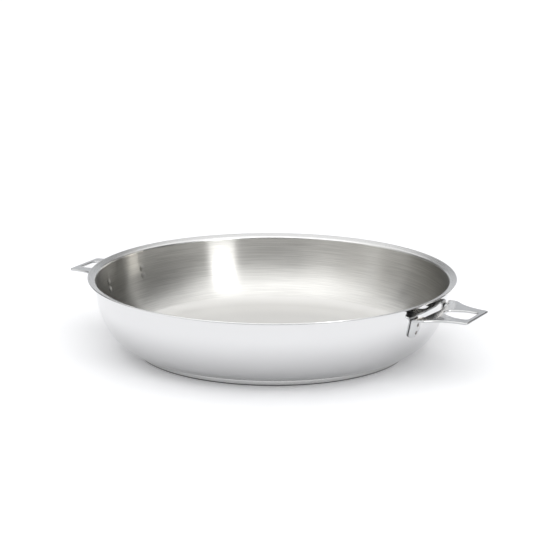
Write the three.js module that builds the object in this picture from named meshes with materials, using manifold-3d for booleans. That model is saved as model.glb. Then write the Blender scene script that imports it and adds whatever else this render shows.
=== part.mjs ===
// A frying pan: a drawn steel shell with a flared pouring lip, a base that seals an aluminium disc under a
// steel cap, and two sheet brackets for a clip-on handle, spot welded to the wall.
// Millimetres, +Z up. The origin is the centre of the base's underside, and the brackets lie along +X and -X.
import * as THREE from "three";
import { mergeVertices } from "three/addons/utils/BufferGeometryUtils.js";
import Module from "manifold-3d";

// Shell
const RIM_RADIUS = 160; // to the outer edge of the lip
const PAN_HEIGHT = 65; // from the hob to the lip's edge
const SHELL_SHEET = 1;
const LIP_WIDTH = 8.3; // from the wall's inner face to the lip's edge
const LIP_RISE = 2.4;
const LIP_BEND = 2.6; // how far the bend under the lip runs along the wall and along the lip
const WALL_LEAN = 1; // degrees from upright, at the top of the wall
const CORNER_FULLNESS = 0.56; // how far the floor line reaches into the corner, 0 to 1
const WALL_FULLNESS = 0.53; // how far the wall line reaches down into the corner, 0 to 1

// Base
const BASE_INSET = 42; // from the lip's edge in to the side of the base
const BASE_HEIGHT = 5.4; // from the hob to the underside of the shell
const CAP_SHEET = 0.6;
const CAP_EDGE = 1; // outer radius of the cap's lower edge
const CORE_CLEARANCE = 0.3;

// Brackets
const BRACKET_SHEET = 2;
const PLATE_DROP = 11.6; // from the lip's edge down to the top of the plate, at the bend
const PLATE_SLOPE = 1.7; // degrees, down towards the tip
const PLATE_LENGTH = 38.2; // from the bend to the tip
const TIP_WIDTH = 46;
const TIP_ROUND = 3;
const WAIST_WIDTH = 47; // where the flanks' end directions cross
const WAIST_LENGTH = 20.5; // from the tip to the waist
const ROOT_WIDTH = 75;
const SHOULDER_LENGTH = 2; // from the bend to the shoulder
const SHOULDER_ROUND = 4;
const BEND_RADIUS = 2.5; // at the middle of the sheet
const EAR_GAP = 0.3;
const EAR_WIDTH = 12.5;
const EAR_DROP = 17.6; // from the top of the plate to the ear's lower edge
const EAR_ROUND = 6;
const HOLE_WIDTH = 25.2;
const HOLE_STRAIGHT = 12; // length of the hole's parallel sides
const HOLE_END_WIDTH = 10; // at the narrow end, towards the wall
const HOLE_ROUND = 4;
const TIP_BAND = 4.5; // metal between the hole and the tip
const NOTCH_DEPTH = 0.9; // how far the notch between the ears cuts past the bend into the plate
const WALL_BAND = 6.6; // metal between the hole and the notch

// Spot welds, one above the other on each ear
const WELD_RADIUS = 2.2;
const WELD_THICKNESS = 0.8;
const WELD_CLEARANCE = 0.3;
const WELD_DROP = 6.4; // from the top of the plate down to the upper weld
const WELD_RAISE = 4.5; // from the ear's lower edge up to the lower weld
const WELD_INSET = 3.4; // from the ear's inner edge across to the welds
const DENT_DEPTH = 0.3; // the electrode's mark on the ear's face

// Facets
const ROUND_SEGMENTS = 96;
const WELD_SEGMENTS = 16;
const CORNER_STEPS = 11;
const BEND_STEPS = 4;
const TRIM = 5; // how far the trimming blocks stand clear of what they cut

const wasm = await Module();
wasm.setup();

const steel = (color, roughness) => new THREE.MeshStandardMaterial({ color, roughness, metalness: 1 });
const finish = {
  shell: steel(0xc9c8c4, 0.22),
  cap: steel(0xb4b4b2, 0.3),
  core: steel(0xc4c6c8, 0.55),
  bracket: steel(0xb8b9bb, 0.35),
  weld: steel(0x8e8d8a, 0.6),
};

const point = (x, y) => new THREE.Vector2(x, y);

// A line of points moved sideways, to the left of its direction.
function sideways(line, distance) {
  return line.map((here, i) => {
    const before = line[Math.max(i - 1, 0)];
    const after = line[Math.min(i + 1, line.length - 1)];
    const arriving = i > 0 ? here.clone().sub(before) : after.clone().sub(here);
    const leaving = i < line.length - 1 ? after.clone().sub(here) : arriving.clone();
    const normal = point(-arriving.y, arriving.x).normalize();
    const bisector = normal.clone().add(point(-leaving.y, leaving.x).normalize()).normalize();
    return here.clone().addScaledVector(bisector, distance / bisector.dot(normal));
  });
}

// The point where a rising line reaches a height.
function atHeight(line, height) {
  const i = Math.max(line.findIndex((p) => p.y >= height), 1);
  const share = (height - line[i - 1].y) / (line[i].y - line[i - 1].y);
  return line[i - 1].clone().lerp(line[i], share);
}

// Points on an arc between two angles in degrees.
function arc(centre, radius, from, to, steps) {
  return Array.from({ length: steps + 1 }, (_, i) => {
    const angle = THREE.MathUtils.degToRad(from + ((to - from) * i) / steps);
    return point(centre.x + radius * Math.cos(angle), centre.y + radius * Math.sin(angle));
  });
}

// A profile of radius and height turned about the Z axis.
const turned = (profile) => new THREE.LatheGeometry(profile, ROUND_SEGMENTS).rotateX(Math.PI / 2);

// The point at a distance from one point towards another.
const towards = (from, to, distance) => to.clone().sub(from).setLength(distance).add(from);

// Runs a path up to a corner and round it, towards the next point.
function turnCorner(path, corner, next, round) {
  const start = towards(corner, path.currentPoint, round);
  const end = towards(corner, next, round);
  path.lineTo(start.x, start.y);
  path.quadraticCurveTo(corner.x, corner.y, end.x, end.y);
}

// An outline whose half starts and ends on the mirror line, with the other half added.
function mirrored(half, flip) {
  const other = half.slice(1, -1).map((p) => p.clone().multiply(flip));
  return [...half, ...other.reverse()];
}

function solidOf(geometry) {
  const bare = new THREE.BufferGeometry();
  bare.setAttribute("position", geometry.getAttribute("position"));
  bare.setIndex(geometry.index);
  const merged = mergeVertices(bare);
  const vertProperties = merged.getAttribute("position").array;
  const triVerts = new Uint32Array(merged.index.array);
  return new wasm.Manifold(new wasm.Mesh({ numProp: 3, vertProperties, triVerts }));
}

function geometryOf(solid) {
  const { vertProperties, triVerts } = solid.getMesh();
  const geometry = new THREE.BufferGeometry();
  geometry.setAttribute("position", new THREE.BufferAttribute(vertProperties, 3));
  geometry.setIndex(new THREE.BufferAttribute(triVerts, 1));
  return geometry;
}

function piece(name, geometry, material) {
  const mesh = new THREE.Mesh(geometry, material);
  mesh.name = name;
  return mesh;
}

// The shell follows the middle of its sheet: flat floor, one full corner curve, upright wall and flared lip.
const halfShell = SHELL_SHEET / 2;
const baseRadius = RIM_RADIUS - BASE_INSET;
const floorEnd = point(baseRadius, BASE_HEIGHT + halfShell);
const lipEnd = point(RIM_RADIUS - halfShell, PAN_HEIGHT - halfShell);
const lipRoot = point(RIM_RADIUS - LIP_WIDTH + halfShell, lipEnd.y - LIP_RISE);
const wallTop = point(lipRoot.x, lipRoot.y - LIP_BEND);
const wallDown = point(-Math.tan(THREE.MathUtils.degToRad(WALL_LEAN)), -1);
const wall = new THREE.CubicBezierCurve(
  floorEnd,
  point(THREE.MathUtils.lerp(floorEnd.x, wallTop.x, CORNER_FULLNESS), floorEnd.y),
  wallTop.clone().addScaledVector(wallDown, (wallTop.y - floorEnd.y) * WALL_FULLNESS),
  wallTop,
).getPoints(CORNER_STEPS);
const lipAlong = lipEnd.clone().sub(lipRoot).normalize();
const lipBend = new THREE.QuadraticBezierCurve(
  wallTop,
  lipRoot,
  lipRoot.clone().addScaledVector(lipAlong, LIP_BEND),
).getPoints(BEND_STEPS);
const shellLine = [point(0, floorEnd.y), ...wall, ...lipBend.slice(1), lipEnd];
const lipAngle = THREE.MathUtils.radToDeg(lipAlong.angle());

function panBody() {
  const profile = [
    ...sideways(shellLine, -halfShell),
    ...arc(lipEnd, halfShell, lipAngle - 90, lipAngle + 90, BEND_STEPS).slice(1, -1),
    ...sideways(shellLine, halfShell).reverse(),
  ];
  return piece("pan_body", turned(profile), finish.shell);
}

// The cap is a shallow cup with a rounded lower edge, and the core fills it.
function cupSide(inset, floor) {
  const radius = Math.max(CAP_EDGE - inset, 0);
  const centre = point(baseRadius - inset - radius, floor + radius);
  return [...arc(centre, radius, -90, 0, BEND_STEPS), point(baseRadius - inset, BASE_HEIGHT)];
}

function baseCap() {
  const profile = [
    point(0, 0),
    ...cupSide(0, 0),
    ...cupSide(CAP_SHEET, CAP_SHEET).reverse(),
    point(0, CAP_SHEET),
  ];
  return piece("base_cap", turned(profile), finish.cap);
}

function baseCore() {
  const side = cupSide(CAP_SHEET + CORE_CLEARANCE, CAP_SHEET);
  const profile = [point(0, CAP_SHEET), ...side, point(0, BASE_HEIGHT)];
  return piece("base_core", turned(profile), finish.core);
}

// A bracket is bent from one sheet. Its ears lie on the wall, and its plate stands out from their tops and
// slopes down a little.
const plateTop = PAN_HEIGHT - PLATE_DROP;
const plateMiddle = plateTop - BRACKET_SHEET / 2;
const bendLevel = plateMiddle - BEND_RADIUS;
const earFoot = plateTop - EAR_DROP;
const earInner = ROOT_WIDTH / 2 - EAR_WIDTH;
const wallFace = sideways(wall, -halfShell);
const earLine = sideways(wallFace, -(EAR_GAP + BRACKET_SHEET / 2));
const bendCentre = point(atHeight(earLine, bendLevel).x + BEND_RADIUS, bendLevel);
const plateInner = bendCentre.x;
const plateTip = plateInner + PLATE_LENGTH;
const notchEdge = plateInner + NOTCH_DEPTH;

// The bent sheet as a full ring about the pan, before it is cut to its outline.
function bentRing() {
  const below = earLine.filter((p) => p.y > earFoot && p.y < bendLevel);
  const bend = arc(bendCentre, BEND_RADIUS, 180, 90 - PLATE_SLOPE, BEND_STEPS);
  const fall = Math.tan(THREE.MathUtils.degToRad(PLATE_SLOPE));
  const plate = point(1, -fall).multiplyScalar(PLATE_LENGTH + TRIM);
  const line = [atHeight(earLine, earFoot - TRIM), ...below, ...bend, bend.at(-1).clone().add(plate)];
  const right = sideways(line, -BRACKET_SHEET / 2);
  const profile = [...right, ...sideways(line, BRACKET_SHEET / 2).reverse(), right[0]];
  return solidOf(turned(profile));
}

// Seen from above: a tongue with hollow flanks, two ears, and a notch between them that follows the wall.
function planOutline() {
  const tip = point(plateTip, TIP_WIDTH / 2);
  const waist = point(plateTip - WAIST_LENGTH, WAIST_WIDTH / 2);
  const shoulder = point(plateInner + SHOULDER_LENGTH, ROOT_WIDTH / 2);
  const flankEnd = towards(shoulder, waist, SHOULDER_ROUND);
  const half = new THREE.Path();
  half.moveTo(plateTip, 0);
  turnCorner(half, tip, waist, TIP_ROUND);
  half.quadraticCurveTo(waist.x, waist.y, flankEnd.x, flankEnd.y);
  turnCorner(half, shoulder, point(0, shoulder.y), SHOULDER_ROUND);
  half.lineTo(0, shoulder.y);
  half.lineTo(0, earInner);
  half.absarc(0, 0, notchEdge, Math.asin(earInner / notchEdge), 0, true);
  return mirrored(half.getPoints(BEND_STEPS), point(1, -1));
}

// The hole is wide at the tip and narrows towards the wall.
function holeOutline() {
  const outer = point(plateTip - TIP_BAND, HOLE_WIDTH / 2);
  const wide = point(outer.x - HOLE_STRAIGHT, outer.y);
  const narrow = point(notchEdge + WALL_BAND, HOLE_END_WIDTH / 2);
  const end = point(narrow.x, 0);
  const half = new THREE.Path();
  half.moveTo(outer.x, 0);
  turnCorner(half, outer, wide, HOLE_ROUND);
  turnCorner(half, wide, narrow, HOLE_ROUND);
  turnCorner(half, narrow, end, HOLE_ROUND);
  half.lineTo(end.x, end.y);
  return mirrored(half.getPoints(BEND_STEPS), point(1, -1));
}

// Seen from the end: full width at the plate, and two ears with rounded feet below it.
function earOutline() {
  const outerFoot = point(ROOT_WIDTH / 2, earFoot);
  const innerFoot = point(earInner, earFoot);
  const innerTop = point(earInner, bendLevel);
  const half = new THREE.Path();
  half.moveTo(0, plateTop + TRIM);
  half.lineTo(outerFoot.x, plateTop + TRIM);
  turnCorner(half, outerFoot, innerFoot, EAR_ROUND);
  turnCorner(half, innerFoot, innerTop, EAR_ROUND);
  half.lineTo(innerTop.x, innerTop.y);
  half.lineTo(0, innerTop.y);
  return mirrored(half.getPoints(BEND_STEPS), point(-1, 1));
}

// A block along the wall's outward normal at one weld, in the frame of the bracket on +X.
function atWeld(geometry, height, side) {
  const seat = atHeight(wallFace, height);
  const lean = Math.atan2(atHeight(wallFace, height + 1).x - seat.x, 1);
  const across = side * (earInner + WELD_INSET);
  return geometry
    .rotateY(lean)
    .translate(seat.x, 0, seat.y)
    .rotateZ(Math.asin(across / seat.x));
}

// A disc that starts a distance off the wall.
function disc(radius, thickness, off) {
  return new THREE.CylinderGeometry(radius, radius, thickness, WELD_SEGMENTS)
    .rotateZ(-Math.PI / 2)
    .translate(off + thickness / 2, 0, 0);
}

function electrodeMark() {
  return new THREE.SphereGeometry(1, WELD_SEGMENTS, WELD_SEGMENTS / 2)
    .scale(DENT_DEPTH, WELD_RADIUS, WELD_RADIUS)
    .translate(EAR_GAP + BRACKET_SHEET, 0, 0);
}

const weldHeights = { upper: plateTop - WELD_DROP, lower: earFoot + WELD_RAISE };
const welds = [-1, 1].flatMap((side) =>
  Object.entries(weldHeights).map(([level, height]) => ({ side, level, height })),
);

function bracketGeometry() {
  const plan = new THREE.Shape(planOutline());
  plan.holes.push(new THREE.Path(holeOutline()));
  const planBlock = new THREE.ExtrudeGeometry(plan, { depth: EAR_DROP + 2 * TRIM, bevelEnabled: false });
  planBlock.translate(0, 0, earFoot - TRIM);
  const ears = new THREE.Shape(earOutline());
  const earBlock = new THREE.ExtrudeGeometry(ears, { depth: plateTip + TRIM, bevelEnabled: false });
  earBlock.rotateX(Math.PI / 2).rotateZ(Math.PI / 2);
  let solid = bentRing().intersect(solidOf(planBlock)).intersect(solidOf(earBlock));
  for (const { side, height } of welds) {
    const pocket = disc(WELD_RADIUS + WELD_CLEARANCE, EAR_GAP + WELD_THICKNESS + WELD_CLEARANCE, 0);
    solid = solid.subtract(solidOf(atWeld(pocket, height, side)));
    solid = solid.subtract(solidOf(atWeld(electrodeMark(), height, side)));
  }
  return geometryOf(solid);
}

const bracketShape = bracketGeometry();

// One bracket with its welds, turned about the pan's axis. Its ears are named as they lie on the pan.
function bracket(name, turn, earNames) {
  const group = new THREE.Group();
  group.add(piece(`bracket_${name}`, bracketShape, finish.bracket));
  for (const { side, level, height } of welds) {
    const ear = side < 0 ? earNames[0] : earNames[1];
    const nugget = atWeld(disc(WELD_RADIUS, WELD_THICKNESS, EAR_GAP), height, side);
    group.add(piece(`weld_${name}_${ear}_${level}`, nugget, finish.weld));
  }
  group.rotation.z = turn;
  return group;
}

const pan = new THREE.Group();
pan.add(panBody(), baseCap(), baseCore());
pan.add(bracket("right", 0, ["front", "rear"]));
pan.add(bracket("left", Math.PI, ["rear", "front"]));

export default pan;
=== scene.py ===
from math import atan2, cos, degrees, hypot, pi, radians, sin, sqrt, tan

import bmesh
import bpy
from mathutils import Matrix, Vector
from mathutils.geometry import interpolate_bezier


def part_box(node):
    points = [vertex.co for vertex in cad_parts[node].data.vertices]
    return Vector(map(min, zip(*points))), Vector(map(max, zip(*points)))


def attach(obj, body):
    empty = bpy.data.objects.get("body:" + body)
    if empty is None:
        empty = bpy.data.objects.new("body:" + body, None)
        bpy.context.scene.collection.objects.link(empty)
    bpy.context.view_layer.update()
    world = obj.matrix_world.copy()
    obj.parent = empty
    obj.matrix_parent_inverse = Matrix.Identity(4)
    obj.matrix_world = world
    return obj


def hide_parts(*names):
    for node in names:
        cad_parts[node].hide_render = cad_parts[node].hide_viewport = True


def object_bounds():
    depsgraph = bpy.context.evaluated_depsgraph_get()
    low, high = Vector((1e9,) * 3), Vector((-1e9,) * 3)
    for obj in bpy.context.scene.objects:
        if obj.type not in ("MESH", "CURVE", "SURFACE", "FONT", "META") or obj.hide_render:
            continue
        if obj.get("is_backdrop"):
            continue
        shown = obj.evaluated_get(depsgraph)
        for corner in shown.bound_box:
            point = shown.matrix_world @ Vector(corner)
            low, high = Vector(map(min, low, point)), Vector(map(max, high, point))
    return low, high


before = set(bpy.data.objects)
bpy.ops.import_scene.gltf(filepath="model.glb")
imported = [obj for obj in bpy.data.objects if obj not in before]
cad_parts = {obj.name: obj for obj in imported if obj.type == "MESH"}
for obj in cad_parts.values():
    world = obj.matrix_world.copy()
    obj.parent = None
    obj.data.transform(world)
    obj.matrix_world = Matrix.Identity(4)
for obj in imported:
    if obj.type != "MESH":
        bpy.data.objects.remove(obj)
cad_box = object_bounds()


# Pan body
# The pan is drawn from one sheet of stainless steel, with a full corner and a flared pouring lip. The
# outside is buffed to a mirror, the wall inside is brushed in rings, and the floor and the lip are satin.
# The welding of the brackets has left shallow dimples inside the wall.

SHEET = 0.001
LIP_WIDTH = 0.0069
LIP_RISE = 0.0017
LIP_BEND = 0.0016
WALL_LEAN = radians(1)
CORNER_FULLNESS = 0.56
WALL_FULLNESS = 0.53
FLOOR_FINISH = 0.1315
DIMPLE_RADIUS = 0.0038
DIMPLE_DEPTH = 0.0006
DIMPLE_STEP = 0.0004
FLOOR_STEPS = 24
WALL_STEPS = 90
BEND_STEPS = 10
LIP_STEPS = 6
EDGE_STEPS = 8
ROUND_STEPS = 256
SHARP = radians(40)
WELDS = [
    f"weld_{side}_{ear}_{level}"
    for side in ("right", "left") for ear in ("front", "rear") for level in ("upper", "lower")
]

# Tones are a darkest and a lightest colour, roughness is the least and the most of it, and lines count the
# grain in a metre. Heights and radii say where one tone starts and ends turning into the next.
# The outside's base colour is darker towards its foot: painted shade for the shadowed table that the lower
# wall mirrors.
POLISHED_PAINTED_SHADE_FOOT = (0.5, 0.5, 0.503, 1)
POLISHED_TOP = (0.74, 0.74, 0.743, 1)
POLISHED_PAINTED_SHADE_HEIGHTS = (0.0, 0.05)
POLISHED_ROUGHNESS = (0.05, 0.09)
POLISHED_RING_ROUGHNESS = 0.03
POLISHED_LINES = 900.0
POLISHED_HAZE = 14.0
LIP_TONES = ((0.67, 0.67, 0.668, 1), (0.75, 0.75, 0.747, 1))
LIP_ROUGHNESS = (0.24, 0.32)
LIP_LINES = 2200.0
# The brushed wall is lighter low down and darker higher up: painted light and painted shade for what the
# wall mirrors.
BRUSHED_LOW_PAINTED_LIGHT_TONES = ((0.66, 0.655, 0.635, 1), (0.81, 0.805, 0.78, 1))
BRUSHED_HIGH_PAINTED_SHADE_TONES = ((0.43, 0.426, 0.411, 1), (0.56, 0.555, 0.536, 1))
BRUSHED_PAINTED_LIGHT_AND_SHADE_HEIGHTS = (0.008, 0.045)
BRUSHED_CONTRAST = (0.3, 0.7)
BRUSHED_ROUGHNESS = (0.28, 0.32)
BRUSHED_LINES = 1500.0
SATIN_MIDDLE_TONES = ((0.655, 0.65, 0.637, 1), (0.735, 0.73, 0.717, 1))
# The floor is lighter towards its edge: painted light against the shade near the wall.
SATIN_CORNER_PAINTED_LIGHT_TONES = ((0.755, 0.75, 0.736, 1), (0.835, 0.83, 0.815, 1))
SATIN_PAINTED_LIGHT_RADII = (0.08, 0.115)
SATIN_ROUGHNESS = (0.62, 0.72)
SATIN_LINES = 1800.0
SATIN_PATCHES = 24.0
FINE_GRAIN = {"detail": 4.0, "roughness": 0.6}

body_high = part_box("pan_body")[1]
cap_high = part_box("base_cap")[1]
rim_radius = body_high.x
pan_height = body_high.z
base_radius = cap_high.x
base_height = cap_high.z
weld_centres = {name: sum(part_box(name), Vector()) / 2 for name in WELDS}


def offset(line, distance):
    """A line of points moved sideways, to the left of its direction."""
    moved = []
    for i, here in enumerate(line):
        ahead = line[min(i + 1, len(line) - 1)] - here
        behind = here - line[max(i - 1, 0)]
        normals = [Vector((-d.y, d.x)).normalized() for d in (behind, ahead) if d.length > 0]
        mitre = sum(normals, Vector((0, 0))).normalized()
        moved.append(here + mitre * (distance / mitre.dot(normals[0])))
    return moved


def arc(centre, radius, start, end, steps):
    """Points on an arc between two angles in degrees."""
    angles = [radians(start + (end - start) * i / steps) for i in range(steps + 1)]
    return [centre + radius * Vector((cos(a), sin(a))) for a in angles]


def at_height(line, height):
    """The point where a rising line reaches a height."""
    for low, high in zip(line, line[1:]):
        if low.y <= height <= high.y:
            return low.lerp(high, (height - low.y) / (high.y - low.y))
    raise ValueError("the line doesn't reach that height")


def evenly(start, end, steps):
    return [start.lerp(end, i / steps) for i in range(steps + 1)]


def finely(line, step):
    """A line with points added so that none lie further apart than a step."""
    fine = line[:1]
    for start, end in zip(line, line[1:]):
        fine += evenly(start, end, max(1, round((end - start).length / step)))[1:]
    return fine


def piece(name, verts, faces, materials, face_slots=None):
    """A smooth mesh object, with its edges kept where the surface turns sharply."""
    mesh = bpy.data.meshes.new(name)
    mesh.from_pydata(verts, [], faces)
    for material in materials:
        mesh.materials.append(material)
    if face_slots:
        mesh.polygons.foreach_set("material_index", face_slots)
    mesh.shade_smooth()
    mesh.set_sharp_from_angle(angle=SHARP)
    mesh.update()
    made = bpy.data.objects.new(name, mesh)
    bpy.context.scene.collection.objects.link(made)
    return made


def turn_angles(steps):
    return [2 * pi * i / steps for i in range(steps)]


def turned(name, profile, materials, angles, slot_of=lambda i: 0, move=lambda p, i: p):
    """A profile of radius and height turned about Z. Its first and last points lie on the axis."""
    count = len(angles)
    verts = [(0, 0, profile[0].y)]
    for i, p in enumerate(profile[1:-1], 1):
        verts += [move(Vector((p.x * cos(a), p.x * sin(a), p.y)), i) for a in angles]
    verts.append((0, 0, profile[-1].y))
    faces, slots = [], []
    last = len(profile) - 2
    for j in range(count):
        k = (j + 1) % count
        faces.append((0, 1 + k, 1 + j))
        slots.append(slot_of(0))
        for i in range(1, last):
            a, b = 1 + (i - 1) * count, 1 + i * count
            faces.append((a + j, a + k, b + k, b + j))
            slots.append(slot_of(i))
        a = 1 + (last - 1) * count
        faces.append((a + j, a + k, len(verts) - 1))
        slots.append(slot_of(last))
    return piece(name, verts, faces, materials, slots)


class Wire:
    """A socket in a node tree. Arithmetic on wires adds Math nodes, and add() adds any other node."""

    def __init__(self, tree, socket=None):
        self.tree = tree
        self.socket = socket

    def add(self, kind, settings=None, inputs=None, out=0):
        node = self.tree.nodes.new(kind)
        for key, value in (settings or {}).items():
            setattr(node, key, value)
        for key, value in (inputs or {}).items():
            if isinstance(value, Wire):
                self.tree.links.new(value.socket, node.inputs[key])
            else:
                node.inputs[key].default_value = value
        return Wire(self.tree, node.outputs[out])

    def maths(self, operation, *values):
        return self.add("ShaderNodeMath", {"operation": operation}, dict(enumerate(values)))

    def __add__(self, other):
        return self.maths("ADD", self, other)

    def __radd__(self, other):
        return self.maths("ADD", other, self)

    def __mul__(self, other):
        return self.maths("MULTIPLY", self, other)

    def __rmul__(self, other):
        return self.maths("MULTIPLY", other, self)

    def __truediv__(self, other):
        return self.maths("DIVIDE", self, other)

    def __rtruediv__(self, other):
        return self.maths("DIVIDE", other, self)

    def __pow__(self, other):
        return self.maths("POWER", self, other)

    def __rpow__(self, other):
        return self.maths("POWER", other, self)

    def ranging(self, low, high):
        """A value that goes from low to high as this wire goes from 0 to 1."""
        return low + self * (high - low)

    def between(self, low, high):
        """0 up to low, 1 from high, and smooth in between."""
        settings = {"interpolation_type": "SMOOTHSTEP"}
        values = {"Value": self, "From Min": low, "From Max": high}
        return self.add("ShaderNodeMapRange", settings, values)

    def mix(self, first, second):
        """One colour turning into another as this wire goes from 0 to 1."""
        return self.add("ShaderNodeMix", {"data_type": "RGBA"}, {0: self, 6: first, 7: second}, 2)

    def vectors(self, operation, *values):
        inputs = dict(enumerate((self, *values)))
        return self.add("ShaderNodeVectorMath", {"operation": operation}, inputs)

    def parts(self):
        split = self.add("ShaderNodeSeparateXYZ", None, {0: self}).socket.node
        return [Wire(self.tree, s) for s in split.outputs]

    def noise(self, scale=1.0, detail=3.0, roughness=0.5):
        values = {"Vector": self, "Scale": scale, "Detail": detail, "Roughness": roughness}
        return self.add("ShaderNodeTexNoise", None, values)

    def bump(self, height_mm):
        return self.add("ShaderNodeBump", None, {"Height": self, "Distance": height_mm / 1000})


def metal(name, **constants):
    """A bare metal material: its graph, and its shader for the wires that vary over the surface."""
    material = bpy.data.materials.new(name)
    material.use_nodes = True
    shader = material.node_tree.nodes["Principled BSDF"]
    shader.inputs["Metallic"].default_value = 1.0
    for key, value in constants.items():
        shader.inputs[key.replace("_", " ").title()].default_value = value
    return material, Wire(material.node_tree), shader


def wear(shader, graph, **wires):
    """Joins wires to the shader's sockets of the same names."""
    for key, wire in wires.items():
        graph.tree.links.new(wire.socket, shader.inputs[key.replace("_", " ").title()])


def round_and_round(graph, lines, breaks):
    """A coordinate for grain in rings: lines in a metre along the profile, and breaks in a turn."""
    x, y, z = graph.add("ShaderNodeTexCoord", out="Object").parts()
    radius = (x * x + y * y) ** 0.5
    rings = {0: x / radius * breaks, 1: y / radius * breaks, 2: (radius + z) * lines}
    return graph.add("ShaderNodeCombineXYZ", None, rings)


def polished_steel():
    material, graph, shader = metal("polished_steel")
    place = graph.add("ShaderNodeTexCoord", out="Object")
    haze = place.noise(POLISHED_HAZE)
    rings = round_and_round(graph, POLISHED_LINES, breaks=3.0).noise()
    height = place.parts()[2]
    wear(
        shader,
        graph,
        # painted shade: the outside's colour darkens towards its foot
        base_color=height.between(*POLISHED_PAINTED_SHADE_HEIGHTS).mix(POLISHED_PAINTED_SHADE_FOOT, POLISHED_TOP),
        roughness=haze.ranging(*POLISHED_ROUGHNESS) + rings * POLISHED_RING_ROUGHNESS,
        normal=rings.bump(height_mm=0.002),
    )
    return material


def brushed_steel():
    material, graph, shader = metal("brushed_steel", anisotropic=1.0, anisotropic_rotation=0.25)
    streaks = round_and_round(graph, BRUSHED_LINES, breaks=4.0).noise(**FINE_GRAIN)
    lines = streaks.between(*BRUSHED_CONTRAST)
    low = lines.mix(*BRUSHED_LOW_PAINTED_LIGHT_TONES)
    high = lines.mix(*BRUSHED_HIGH_PAINTED_SHADE_TONES)
    height = graph.add("ShaderNodeTexCoord", out="Object").parts()[2]
    wear(
        shader,
        graph,
        # painted light low on the wall turning into painted shade higher up
        base_color=height.between(*BRUSHED_PAINTED_LIGHT_AND_SHADE_HEIGHTS).mix(low, high),
        roughness=streaks.ranging(*BRUSHED_ROUGHNESS),
    )
    return material


def satin_steel():
    material, graph, shader = metal("satin_steel")
    fine = round_and_round(graph, SATIN_LINES, breaks=3.0).noise(**FINE_GRAIN)
    place = graph.add("ShaderNodeTexCoord", out="Object")
    patch = place.noise(SATIN_PATCHES, detail=4.0)
    tone = (fine + patch) / 2
    middle = tone.mix(*SATIN_MIDDLE_TONES)
    corner = tone.mix(*SATIN_CORNER_PAINTED_LIGHT_TONES)
    x, y = place.parts()[:2]
    radius = (x * x + y * y) ** 0.5
    wear(
        shader,
        graph,
        # painted light: the floor's colour lightens towards its edge
        base_color=radius.between(*SATIN_PAINTED_LIGHT_RADII).mix(middle, corner),
        roughness=patch.ranging(*SATIN_ROUGHNESS),
        normal=fine.bump(height_mm=0.004),
    )
    return material


def lip_steel():
    material, graph, shader = metal("lip_steel")
    rings = round_and_round(graph, LIP_LINES, breaks=6.0).noise(**FINE_GRAIN)
    wear(
        shader,
        graph,
        base_color=rings.mix(*LIP_TONES),
        roughness=rings.ranging(*LIP_ROUGHNESS),
        normal=rings.bump(height_mm=0.003),
    )
    return material


half_sheet = SHEET / 2
floor_end = Vector((base_radius, base_height + half_sheet))
lip_end = Vector((rim_radius - half_sheet, pan_height - half_sheet))
lip_root = Vector((rim_radius - LIP_WIDTH + half_sheet, lip_end.y - LIP_RISE))
wall_top = lip_root - Vector((0, LIP_BEND))
corner_handle = Vector((floor_end.x + (wall_top.x - floor_end.x) * CORNER_FULLNESS, floor_end.y))
wall_handle = wall_top - (wall_top.y - floor_end.y) * WALL_FULLNESS * Vector((tan(WALL_LEAN), 1))
wall = [p.to_2d() for p in interpolate_bezier(
    *(p.to_3d() for p in (floor_end, corner_handle, wall_handle, wall_top)), WALL_STEPS + 1)]
lip_along = (lip_end - lip_root).normalized()
bend = [
    wall_top.lerp(lip_root, t).lerp(lip_root.lerp(lip_root + lip_along * LIP_BEND, t), t)
    for t in (i / BEND_STEPS for i in range(1, BEND_STEPS + 1))
]
floor = evenly(Vector((0, floor_end.y)), floor_end, FLOOR_STEPS)[:-1]
lip = evenly(bend[-1], lip_end, LIP_STEPS)[1:]
sheet_line = floor + wall + bend + lip
outer_side = offset(sheet_line, -half_sheet)
inner_side = offset(sheet_line, half_sheet)
lip_tilt = degrees(lip_along.angle_signed(Vector((1, 0))))
edge = arc(lip_end, half_sheet, lip_tilt - 90, lip_tilt + 90, EDGE_STEPS)[1:-1]

floor_inside = inner_side[:len(floor)]
wall_inside = inner_side[len(floor):len(floor) + len(wall)]
lip_inside = inner_side[len(floor) + len(wall):]
weld_levels = [centre.z for centre in weld_centres.values()]
below = [p for p in wall_inside if p.y < min(weld_levels) - DIMPLE_RADIUS]
above = [p for p in wall_inside if p.y > max(weld_levels) + DIMPLE_RADIUS]
dimple_zone = wall_inside[len(below):len(wall_inside) - len(above)]
wall_inside = below + finely(dimple_zone, DIMPLE_STEP) + above
shell_profile = outer_side + edge + lip_inside[::-1] + wall_inside[::-1] + floor_inside[::-1]
lip_starts = len(outer_side) + len(edge) - 1
wall_starts = lip_starts + len(lip_inside)
floor_starts = wall_starts + sum(p.x > FLOOR_FINISH for p in wall_inside)


def shell_finish(i):
    """The finish of the faces after profile point i: outside, lip, wall inside or floor inside."""
    return sum(i >= start for start in (lip_starts, wall_starts, floor_starts))


def apart(angle, other):
    """The difference of two angles, the short way round."""
    return abs((angle - other + pi) % (2 * pi) - pi)


def shell_angles():
    """Angles round the pan, closer together where the dimples need it."""
    reach = 2 * DIMPLE_RADIUS / rim_radius
    steps = round(reach * rim_radius / DIMPLE_STEP)
    ears = [atan2(centre.y, centre.x) for name, centre in weld_centres.items() if name.endswith("upper")]
    close = [ear + reach * i / steps for ear in ears for i in range(-steps, steps + 1)]
    clear = reach + pi / ROUND_STEPS
    even = [a for a in turn_angles(ROUND_STEPS) if all(apart(a, ear) > clear for ear in ears)]
    return sorted(a % (2 * pi) for a in close + even)


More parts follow.
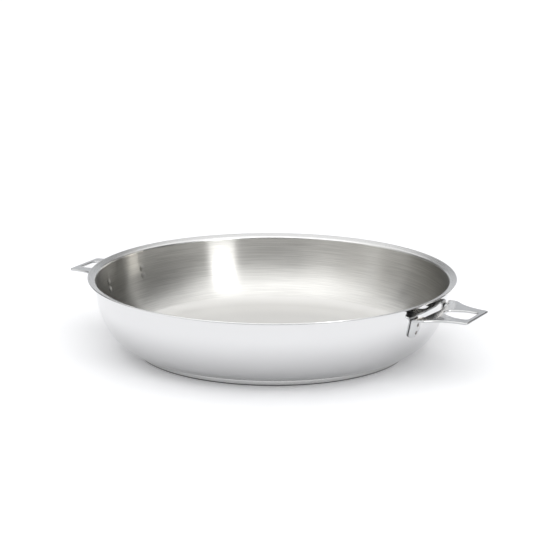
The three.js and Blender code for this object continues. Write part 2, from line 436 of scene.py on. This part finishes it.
def dimpled(place, i):
    """A point of the shell, pressed outwards if it lies inside the wall behind a weld."""
    if not wall_starts < i < floor_starts:
        return place
    for centre in weld_centres.values():
        if abs(place.z - centre.z) < DIMPLE_RADIUS:
            radius = hypot(place.x, place.y)
            across = apart(atan2(place.y, place.x), atan2(centre.y, centre.x)) * radius
            off = hypot(across, place.z - centre.z) / DIMPLE_RADIUS
            if off < 1:
                press = DIMPLE_DEPTH * (1 - off ** 2) ** 2
                return place + Vector((place.x, place.y, 0)) * (press / radius)
    return place


shell_finishes = [polished_steel(), lip_steel(), brushed_steel(), satin_steel()]
body = turned("pan_shell", shell_profile, shell_finishes, shell_angles(), shell_finish, dimpled)
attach(body, "root")
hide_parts("pan_body")


# Base
# An aluminium disc spreads the heat under the floor, and a thin cap of magnetic steel is pressed over it
# and brazed to the shell. The cap's side is a satin band; its rounded lowest edge has a painted contact
# shadow.

CAP_SHEET = 0.0006
CAP_EDGE = 0.0007
CAP_STEPS = 12
SEAM = 0.0003
SEAM_STEPS = 5
# A painted contact shadow: dark on the cap's lowest edge, where it meets the table.
CAP_PAINTED_SHADOW = (0.09, 0.09, 0.09, 1)
CAP_PAINTED_SHADOW_HEIGHTS = (0.0006, 0.0013)
CAP_TONES = ((0.64, 0.64, 0.635, 1), (0.73, 0.73, 0.725, 1))
CAP_ROUGHNESS = (0.1, 0.18)
CAP_LINES = 2200.0
CORE_TONES = ((0.72, 0.73, 0.74, 1), (0.80, 0.81, 0.82, 1))
CORE_ROUGHNESS = (0.45, 0.6)
CORE_GRAIN = 400.0


def cap_steel():
    material, graph, shader = metal("cap_steel")
    fine = round_and_round(graph, CAP_LINES, breaks=4.0).noise(**FINE_GRAIN)
    height = graph.add("ShaderNodeTexCoord", out="Object").parts()[2]
    wear(
        shader,
        graph,
        # painted contact shadow along the cap's lowest edge
        base_color=height.between(*CAP_PAINTED_SHADOW_HEIGHTS).mix(CAP_PAINTED_SHADOW, fine.mix(*CAP_TONES)),
        roughness=fine.ranging(*CAP_ROUGHNESS),
        normal=fine.bump(height_mm=0.003),
    )
    return material


def grainy_metal(name, scale, tones, roughness):
    """A metal with no direction in its grain, which counts its grains in a metre."""
    material, graph, shader = metal(name)
    grain = graph.add("ShaderNodeTexCoord", out="Object").noise(scale)
    wear(shader, graph, base_color=grain.mix(*tones), roughness=grain.ranging(*roughness))
    return material


lower_centre = Vector((base_radius - CAP_EDGE, CAP_EDGE))
upper_centre = Vector((base_radius - SEAM, base_height - SEAM))
cap_profile = (
    evenly(Vector((0, 0)), Vector((lower_centre.x, 0)), CAP_STEPS)[:-1]
    + arc(lower_centre, CAP_EDGE, -90, 0, BEND_STEPS)
    + arc(upper_centre, SEAM, 0, 90, SEAM_STEPS)
    + [Vector((base_radius - CAP_SHEET, base_height)), Vector((base_radius - CAP_SHEET, CAP_EDGE))]
    + arc(lower_centre, CAP_EDGE - CAP_SHEET, 0, -90, BEND_STEPS)[1:]
    + [Vector((0, CAP_SHEET))]
)
cap = turned("base_cap_cup", cap_profile, [cap_steel()], turn_angles(ROUND_STEPS))
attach(cap, "root")
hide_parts("base_cap")

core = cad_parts["base_core"]
core.data.materials.clear()
core.data.materials.append(grainy_metal("core_aluminium", CORE_GRAIN, CORE_TONES, CORE_ROUGHNESS))


# Brackets
# Each bracket is blanked from 2 mm stainless sheet, with a shaped hole for the handle's catch. Its two ears
# are folded down to lie on the wall, and keep the dents that the welding electrodes pressed into them.

BRACKET_SHEET = 0.002
EDGE_BREAK = 0.0008
EDGE_ROUNDS = 3
EAR_GAP = 0.0003
BEND_RADIUS = 0.0025
PLATE_SLOPE = 1.7
PLATE_LENGTH = 0.0368
TIP_WIDTH = 0.046
TIP_ROUND = 0.003
WAIST_WIDTH = 0.047
WAIST_LENGTH = 0.0205
ROOT_WIDTH = 0.075
SHOULDER_LENGTH = 0.002
SHOULDER_ROUND = 0.004
EAR_WIDTH = 0.0125
EAR_ROUND = 0.006
HOLE_WIDTH = 0.0252
HOLE_STRAIGHT = 0.012
HOLE_END_WIDTH = 0.010
HOLE_ROUND = 0.004
TIP_BAND = 0.0045
NOTCH_DEPTH = 0.0009
WALL_BAND = 0.0054
DENT_RADIUS = 0.0019
DENT_DEPTH = 0.0006
DENT_SIDE = 0.4
CUT_STEP = 0.0004
OUTLINE_STEP = 0.0015
CURVE_STEPS = 16
CORNER_STEPS = 6
FOLD_CLEAR = 0.0002
SAME_PLACE = 1e-6
ON_CUT = 1e-7
ON_MIDDLE = 1e-9
BRACKET_TONES = ((0.56, 0.565, 0.57, 1), (0.65, 0.655, 0.66, 1))
BRACKET_ROUGHNESS = (0.13, 0.21)
BRACKET_GRAIN = (900.0, 120.0, 900.0)
BRACKET_HAZE = 60.0
# The electrode dents are darkened: partly heat scale, partly painted shade in their hollows.
DENT_SCALE_AND_SHADE_TONES = ((0.16, 0.15, 0.14, 1), (0.34, 0.33, 0.31, 1))
DENT_ROUGHNESS = (0.4, 0.6)
SCALE_GRAIN = 1500.0

bracket_low, bracket_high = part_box("bracket_right")
plate_top = bracket_high.z
ear_foot = bracket_low.z
plate_middle = plate_top - BRACKET_SHEET / 2
bend_level = plate_middle - BEND_RADIUS
wall_face = offset(wall, -half_sheet)
ear_line = offset(wall_face, -(EAR_GAP + BRACKET_SHEET / 2))
plate_inner = at_height(ear_line, bend_level).x + BEND_RADIUS
plate_tip = plate_inner + PLATE_LENGTH
notch_edge = plate_inner + NOTCH_DEPTH
ear_inner = ROOT_WIDTH / 2 - EAR_WIDTH
fold_arc = arc(Vector((plate_inner, bend_level)), BEND_RADIUS, 90 - PLATE_SLOPE, 180, CURVE_STEPS)
fold_start = plate_tip + BRACKET_SHEET
plate_way = Vector((1, -tan(radians(PLATE_SLOPE))))
fold = (
    [fold_arc[0] + (fold_start - fold_arc[0].x) * plate_way]
    + fold_arc
    + [p for p in reversed(ear_line) if p.y < bend_level - FOLD_CLEAR]
)


def folded(along, across, lift):
    """Where a point of the flat blank lies once it is folded. Along is measured from the pan's axis."""
    left = fold_start - along
    for start, end in zip(fold, fold[1:]):
        length = (end - start).length
        if left <= length or end is fold[-1]:
            break
        left -= length
    way = (end - start) / length
    place = start + way * left + Vector((way.y, -way.x)) * lift
    return Vector((sqrt(place.x ** 2 - across ** 2), across, place.y))


def unfolded(height):
    """How far along the blank a height on the ear lies."""
    total = fold_start
    for start, end in zip(fold, fold[1:]):
        if end.y <= height <= start.y and start.y < bend_level:
            return total - (end - start).length * (start.y - height) / (start.y - end.y)
        total -= (end - start).length
    raise ValueError("the ear doesn't reach that height")


def rounded(corners):
    """A line through corner points, each given with how far it is rounded off."""
    line = []
    for i, (corner, reach) in enumerate(corners):
        if reach == 0:
            line.append(corner)
            continue
        before = corner + (corners[i - 1][0] - corner).normalized() * reach
        after = corner + (corners[i + 1][0] - corner).normalized() * reach
        line += [
            before.lerp(corner, t).lerp(corner.lerp(after, t), t)
            for t in (k / CORNER_STEPS for k in range(CORNER_STEPS + 1))
        ]
    return line


def both_sides(half):
    """A half outline and its mirror image across the bracket's middle."""
    return half + [Vector((p.x, -p.y)) for p in reversed(half) if p.y > ON_MIDDLE]


def blank_outline():
    """The plate seen from above, with the ears unrolled beyond its inner edge."""
    tip = Vector((plate_tip, TIP_WIDTH / 2))
    waist = Vector((plate_tip - WAIST_LENGTH, WAIST_WIDTH / 2))
    shoulder = Vector((plate_inner + SHOULDER_LENGTH, ROOT_WIDTH / 2))
    tongue = rounded([(Vector((plate_tip, 0)), 0), (tip, TIP_ROUND), (waist, 0)])[:-1]
    flank_end = shoulder + (waist - shoulder).normalized() * SHOULDER_ROUND
    flank_start = tongue[-1]
    flank = [
        flank_start.lerp(waist, t).lerp(waist.lerp(flank_end, t), t)
        for t in (i / CURVE_STEPS for i in range(1, CURVE_STEPS + 1))
    ]
    edge_end = shoulder - Vector((SHOULDER_ROUND, 0))
    turn = rounded([(flank_end, 0), (shoulder, SHOULDER_ROUND), (edge_end, 0)])[1:-1]
    flat = [Vector((hypot(p.x, p.y), p.y)) for p in finely(tongue + flank + turn, OUTLINE_STEP)]
    foot = unfolded(ear_foot)
    ear = rounded([
        (Vector((flat[-1].x, ROOT_WIDTH / 2)), 0),
        (Vector((foot, ROOT_WIDTH / 2)), EAR_ROUND),
        (Vector((foot, ear_inner)), EAR_ROUND),
        (Vector((notch_edge, ear_inner)), 0),
        (Vector((notch_edge, 0)), 0),
    ])[1:]
    return both_sides(flat + ear)


def hole_outline():
    outer = Vector((plate_tip - TIP_BAND, HOLE_WIDTH / 2))
    wide = Vector((outer.x - HOLE_STRAIGHT, outer.y))
    narrow = Vector((notch_edge + WALL_BAND, HOLE_END_WIDTH / 2))
    half = rounded([
        (Vector((outer.x, 0)), 0),
        (outer, HOLE_ROUND),
        (wide, HOLE_ROUND),
        (narrow, HOLE_ROUND),
        (Vector((narrow.x, 0)), 0),
    ])
    return both_sides([Vector((hypot(p.x, p.y), p.y)) for p in finely(half, OUTLINE_STEP)])


def blank():
    """The flat blank as a mesh, with its cut edges broken."""
    curve = bpy.data.curves.new("blank", "CURVE")
    curve.dimensions = "2D"
    curve.fill_mode = "BOTH"
    curve.extrude = BRACKET_SHEET / 2 - EDGE_BREAK
    curve.bevel_depth = EDGE_BREAK
    curve.bevel_resolution = EDGE_ROUNDS
    curve.offset = -EDGE_BREAK
    for outline in (blank_outline(), hole_outline()):
        spline = curve.splines.new("POLY")
        spline.points.add(len(outline) - 1)
        spline.use_cyclic_u = True
        for p, at in zip(spline.points, outline):
            p.co = (at.x, at.y, 0, 1)
    holder = bpy.data.objects.new("blank", curve)
    mesh = bpy.data.meshes.new_from_object(holder)
    bpy.data.objects.remove(holder)
    bpy.data.curves.remove(curve)
    return mesh


def bracket_steel():
    material, graph, shader = metal("bracket_steel")
    place = graph.add("ShaderNodeTexCoord", out="Object")
    grain = place.vectors("MULTIPLY", BRACKET_GRAIN).noise(**FINE_GRAIN)
    haze = place.noise(BRACKET_HAZE)
    wear(
        shader,
        graph,
        base_color=grain.mix(*BRACKET_TONES),
        roughness=haze.ranging(*BRACKET_ROUGHNESS),
        normal=grain.bump(height_mm=0.002),
    )
    return material


dents = [
    (centre.z, centre.y / hypot(centre.x, centre.y))
    for name, centre in weld_centres.items() if name.startswith("weld_right")
]


def in_dent(along, across, lift):
    """How deep in an electrode's dent a point of the blank lies, from 0 outside it to 1 on its floor."""
    if lift > -BRACKET_SHEET / 2 + EDGE_BREAK / 2:
        return 0
    nearest = min(
        hypot(along - unfolded(height), across - slant * at_height(ear_line, height).x)
        for height, slant in dents
    )
    return max(0, min(1, (1 - nearest / DENT_RADIUS) / DENT_SIDE))


def slice_through(made, place, across):
    """Adds the edges along which a plane meets the mesh."""
    everything = made.verts[:] + made.edges[:] + made.faces[:]
    bmesh.ops.bisect_plane(made, geom=everything, plane_co=place, plane_no=across, dist=ON_CUT)


def bracket_mesh():
    """The blank with its ears sliced finely, so that they can be dented and folded."""
    made = bmesh.new()
    made.from_mesh(blank())
    bmesh.ops.remove_doubles(made, verts=made.verts, dist=SAME_PLACE)
    foot = unfolded(ear_foot)
    count = round((plate_inner - foot) / CUT_STEP)
    for i in range(1, count + 1):
        slice_through(made, (foot + (plate_inner - foot) * i / count, 0, 0), (1, 0, 0))
    ear_cuts = round(EAR_WIDTH / CUT_STEP)
    for side in (-1, 1):
        for i in range(ear_cuts + 1):
            slice_through(made, (0, side * (ear_inner + EAR_WIDTH * i / ear_cuts), 0), (0, 1, 0))
    for face in made.faces:
        face.material_index = int(in_dent(*face.calc_center_median()) > DENT_SIDE)
    for vert in made.verts:
        along, across, lift = vert.co
        vert.co = folded(along, across, lift + DENT_DEPTH * in_dent(along, across, lift))
    bmesh.ops.recalc_face_normals(made, faces=made.faces)
    mesh = bpy.data.meshes.new("bracket")
    made.to_mesh(mesh)
    made.free()
    mesh.shade_smooth()
    mesh.set_sharp_from_angle(angle=SHARP)
    return mesh


bracket_shape = bracket_mesh()
bracket_shape.materials.append(bracket_steel())
# the dents' floors get a darker finish, partly heat scale and partly painted shade
bracket_shape.materials.append(grainy_metal("dent_scale_and_shade", SCALE_GRAIN, DENT_SCALE_AND_SHADE_TONES, DENT_ROUGHNESS))
for side, turn in (("right", 0), ("left", pi)):
    mesh = bracket_shape.copy()
    mesh.transform(Matrix.Rotation(turn, 4, "Z"))
    bracket = bpy.data.objects.new(f"bracket_{side}_sheet", mesh)
    bpy.context.scene.collection.objects.link(bracket)
    bracket.modifiers.new("even_shading", "WEIGHTED_NORMAL").keep_sharp = True
    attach(bracket, "root")
    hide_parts(f"bracket_{side}")


# Spot welds
# Two spots, one above the other, fuse each ear to the wall. All that is there to see of them is a thin dark
# disc in the gap between the ear and the wall.

WELD_RADIUS = 0.0022
WELD_THICKNESS = 0.0008
WELD_STEPS = 32
WELD_TONES = ((0.30, 0.27, 0.24, 1), (0.48, 0.47, 0.46, 1))
WELD_ROUGHNESS = (0.45, 0.65)

weld_finish = grainy_metal("weld_steel", SCALE_GRAIN, WELD_TONES, WELD_ROUGHNESS)
weld_end = EAR_GAP + WELD_THICKNESS
spot_profile = [Vector(p) for p in ((0, 0), (WELD_RADIUS, 0), (WELD_RADIUS, weld_end), (0, weld_end))]
for name, centre in weld_centres.items():
    seat = at_height(wall_face, centre.z)
    lean = atan2(at_height(wall_face, seat.y + SHEET).x - seat.x, SHEET)
    spot = turned(f"{name}_spot", spot_profile, [weld_finish], turn_angles(WELD_STEPS))
    spot.data.transform(
        Matrix.Rotation(atan2(centre.y, centre.x), 4, "Z")
        @ Matrix.Translation((seat.x, 0, seat.y))
        @ Matrix.Rotation(lean + pi / 2, 4, "Y")
    )
    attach(spot, "root")
    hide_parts(name)


# Studio
# The pan stands on a white table under one wide softbox, with a tall strip light to the camera's right.
# What the steel mirrors is a ring of grey flats, the gaps of white room between them, and a ceiling.

FLOOR_SIZE = 40.0
FLOOR_DROP = 0.0002
FLOOR_WHITE = (0.93, 0.935, 0.95, 1)
FLOOR_GLOW = 0.19
BRACKET_TURN = radians(27.6)
ROOM_LIGHT = 0.5
FLATS_RADIUS = 6.0
FLATS_COLUMNS = 16
CEILING_HEIGHT = 2.3
CEILING_SIDES = (-3.2, 2.75)
CEILING = ((-4.0, 2.2), (-1.4, 2.0), (0.2, 1.25), (1.5, 1.1), (2.7, 1.2))
STRIP_SHADE = 5.5
STRIP = (26.4, 44.4)
STRIP_TOP = 60
STRIP_DISTANCE = 3.0
STRIP_HEIGHT = 3.0
STRIP_WATTS = 15
SOFTBOX_SIZE = 12.0
SOFTBOX_PLACE = Vector((-1.4, -0.3, 6.0))
SOFTBOX_WATTS = 380
WARM_TINT = Vector((0, -0.05, -0.14))
# Each flat: where it starts and ends, in degrees to the right of the camera, where its foot and its top
# are, in degrees above the table, how light it is at its two ends, and how warm.
FLATS = (
    (-150, -104.5, 0, 60, 0.15, 0.06, 0.3),
    (-102.5, -78, 0, 60, 0.46, 0.88, 0.3),
    (-69, -20, 0, 60, 1.08, 0.40, 0.3),
    (-20, 26.4, 0, 60, 0.10, 0.09, 0.3),
    (44.4, 75, 0, 60, 0.30, 0.0, 0.3),
    (75, 102, 0, 60, 0.0, 0.0, 0.3),
    (102, 112.5, 0, 8, 7.0, 7.0, 1.0),
    (102, 112.5, 8, 60, 0.02, 0.02, 0.5),
    (112.5, 130, 0, 60, 0.02, 0.02, 1.0),
    (130, 150, 0, 8, 3.4, 2.6, 0.6),
    (130, 150, 8, 60, 0.05, 0.05, 0.5),
    (150, 180, 0, 22.5, 0.72, 0.72, -0.3),
    (150, 180, 22.5, 34, 0.06, 0.06, -0.3),
    (180, 210, 0, 20, 0.72, 0.72, -0.3),
    (180, 210, 20, 30, 0.03, 0.03, -0.3),
)

spin = Matrix.Rotation(BRACKET_TURN, 4, "Z")
scene = bpy.context.scene


def stage_piece(name, verts, faces, material):
    mesh = bpy.data.meshes.new(name)
    mesh.from_pydata(verts, [], faces)
    mesh.materials.append(material)
    made = bpy.data.objects.new(name, mesh)
    scene.collection.objects.link(made)
    made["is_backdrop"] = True
    return made


def seen_rays(graph):
    """1 for the rays that show the background: straight to the camera, mirrored, or through glass."""
    rays = graph.add("ShaderNodeLightPath").socket.node.outputs
    kinds = ("Is Camera Ray", "Is Glossy Ray", "Is Transmission Ray")
    straight, mirrored, through = (Wire(graph.tree, rays[kind]) for kind in kinds)
    return graph.maths("MAXIMUM", straight, graph.maths("MAXIMUM", mirrored, through))


def surface(material, shader):
    tree = material.node_tree
    tree.links.new(shader.socket, tree.nodes["Material Output"].inputs["Surface"])


def white_table():
    material = bpy.data.materials.new("white_table")
    material.use_nodes = True
    graph = Wire(material.node_tree)
    shader = material.node_tree.nodes["Principled BSDF"]
    shader.inputs["Base Color"].default_value = FLOOR_WHITE
    shader.inputs["Roughness"].default_value = 1.0
    shader.inputs["Specular IOR Level"].default_value = 0.0
    glow = graph.add("ShaderNodeEmission", None, {"Strength": seen_rays(graph) * FLOOR_GLOW})
    paint = Wire(graph.tree, shader.outputs[0])
    surface(material, graph.add("ShaderNodeAddShader", None, {0: paint, 1: glow}))
    return material


def flats_paint():
    material = bpy.data.materials.new("flats_paint")
    material.use_nodes = True
    material.cycles.emission_sampling = "NONE"
    graph = Wire(material.node_tree)
    shade = graph.add("ShaderNodeAttribute", {"attribute_name": "shade"}, None, "Color")
    surface(material, graph.add("ShaderNodeEmission", None, {"Color": shade}))
    return material


def out_there(bearing, climb):
    """A point on the ring of flats, by its bearing from the camera and its climb, in degrees."""
    bearing = radians(bearing)
    return FLATS_RADIUS * Vector((sin(bearing), -cos(bearing), tan(radians(climb))))


def flat_rungs(start, end, foot, top, left, right, warmth):
    """One flat, bent round the table and painted from its left end to its right end, as rungs."""
    tint = Vector((1, 1, 1)) + WARM_TINT * warmth
    for i in range(FLATS_COLUMNS + 1):
        across = i / FLATS_COLUMNS
        bearing = start + (end - start) * across
        yield [out_there(bearing, climb) for climb in (foot, top)], tint * (left + (right - left) * across)


floor_half = FLOOR_SIZE / 2
floor_corners = [
    (x * floor_half, y * floor_half, -FLOOR_DROP)
    for x, y in ((-1, -1), (1, -1), (1, 1), (-1, 1))
]
stage_piece("floor", floor_corners, [(0, 1, 2, 3)], white_table())

bands = [flat_rungs(*flat) for flat in FLATS]
bands.append(flat_rungs(*STRIP, 0, STRIP_TOP, STRIP_SHADE, STRIP_SHADE, 0))
bands.append([
    ([(x, y, CEILING_HEIGHT) for x in CEILING_SIDES], (shade, shade, shade))
    for y, shade in CEILING
])
verts, faces, tones = [], [], []
for band in bands:
    band_start = len(verts)
    for rung, tone in band:
        verts += rung
        tones += [*tone, 1] * len(rung)
    faces += [(a, a + 1, a + 3, a + 2) for a in range(band_start, len(verts) - 2, 2)]
flats = stage_piece("flats", verts, faces, flats_paint())
flats.data.attributes.new("shade", "FLOAT_COLOR", "POINT").data.foreach_set("color", tones)
flats.matrix_world = spin
flats.visible_camera = False
flats.visible_diffuse = False
flats.visible_shadow = False

world = bpy.data.worlds.new("studio")
scene.world = world
world.use_nodes = True
room = Wire(world.node_tree)
level = ROOM_LIGHT + seen_rays(room) * (1 - ROOM_LIGHT)
backdrop = world.node_tree.nodes["Background"]
backdrop.inputs["Color"].default_value = (1, 1, 1, 1)
world.node_tree.links.new(level.socket, backdrop.inputs["Strength"])


def softbox(name, place, aim, width, height, watts):
    """A lamp for the table. The steel mirrors the flats and the ceiling instead of it."""
    light = bpy.data.lights.new(name, "AREA")
    light.shape = "RECTANGLE"
    light.size, light.size_y = width, height
    light.energy = watts
    lamp = bpy.data.objects.new(name, light)
    facing = (place - aim).to_track_quat("Z", "Y").to_matrix().to_4x4()
    lamp.matrix_world = spin @ Matrix.Translation(place) @ facing
    lamp.visible_glossy = False
    scene.collection.objects.link(lamp)


straight_down = SOFTBOX_PLACE * Vector((1, 1, 0))
softbox("softbox", SOFTBOX_PLACE, straight_down, SOFTBOX_SIZE, SOFTBOX_SIZE, SOFTBOX_WATTS)
strip_bearing = radians(sum(STRIP) / 2)
strip_width = 2 * STRIP_DISTANCE * tan(radians((STRIP[1] - STRIP[0]) / 2))
strip_aim = Vector((0, 0, STRIP_HEIGHT / 2))
strip_place = strip_aim + STRIP_DISTANCE * Vector((sin(strip_bearing), -cos(strip_bearing), 0))
softbox("strip_light", strip_place, strip_aim, strip_width, STRIP_HEIGHT, STRIP_WATTS)


# Camera
# The picture is taken from a little above the rim with a long lens, and the right bracket is turned
# towards the camera.

CAMERA_DISTANCE = 2.0
CAMERA_HEIGHT_ANGLE = radians(14.28)
CAMERA_ROLL = radians(0.31)
FOCAL_LENGTH = 148.1
TARGET = Vector((0.0067, 0, 0.0603))

target = spin @ TARGET
away = spin @ Vector((0, -cos(CAMERA_HEIGHT_ANGLE), sin(CAMERA_HEIGHT_ANGLE)))
camera_data = bpy.data.cameras.new("camera")
camera_data.lens = FOCAL_LENGTH
camera = bpy.data.objects.new("camera", camera_data)
looking = away.to_track_quat("Z", "Y").to_matrix().to_4x4()
camera.matrix_world = (
    Matrix.Translation(target + away * CAMERA_DISTANCE) @ looking @ Matrix.Rotation(CAMERA_ROLL, 4, "Z")
)
scene.collection.objects.link(camera)
scene.camera = camera
scene.view_settings.view_transform = "Standard"

boxes = {"cad": cad_box, "visual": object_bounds()}
{name: [list(corner) for corner in box] for name, box in boxes.items()}
